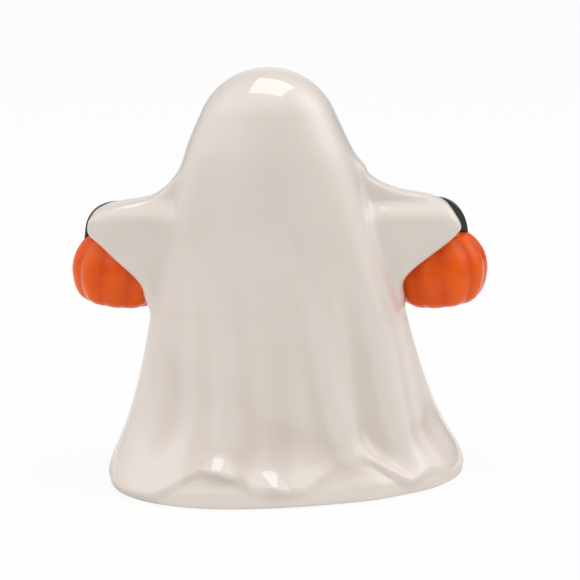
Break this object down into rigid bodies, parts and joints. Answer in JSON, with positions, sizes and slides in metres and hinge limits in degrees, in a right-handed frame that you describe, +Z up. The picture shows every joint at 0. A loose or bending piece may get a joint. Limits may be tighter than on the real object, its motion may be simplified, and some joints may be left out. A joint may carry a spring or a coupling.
{
  "type": "ceramic ghost figure",
  "caption": "Hollow glazed ceramic ghost with outstretched arms and a small pumpkin pail hung by a strap on each arm, standing on a closed foot.",
  "frame": {"origin": "middle of the object's bounding box, on the surface that it stands on", "axes": "+Z up, the figure's face looks along -Y, its own left arm points along +X"},
  "size_m": [0.1537, 0.0872, 0.152],
  "materials": {
    "white_glaze": "glossy warm white glaze",
    "bisque": "unglazed, matte",
    "orange_glaze": "glossy orange glaze",
    "black_glaze": "glossy black glaze",
    "felt": "dark felt"
  },
  "bodies": {
    "root": {"ghost_body": "white_glaze", "base_plate": "bisque", "left_pail": "orange_glaze", "right_pail": "orange_glaze", "left_pail_handle": "black_glaze", "right_pail_handle": "black_glaze", "left_eye": "black_glaze", "right_eye": "black_glaze", "mouth": "black_glaze", "left_pail_face": "black_glaze", "right_pail_face": "black_glaze", "foot_pads": "felt"}
  },
  "joints": []
}
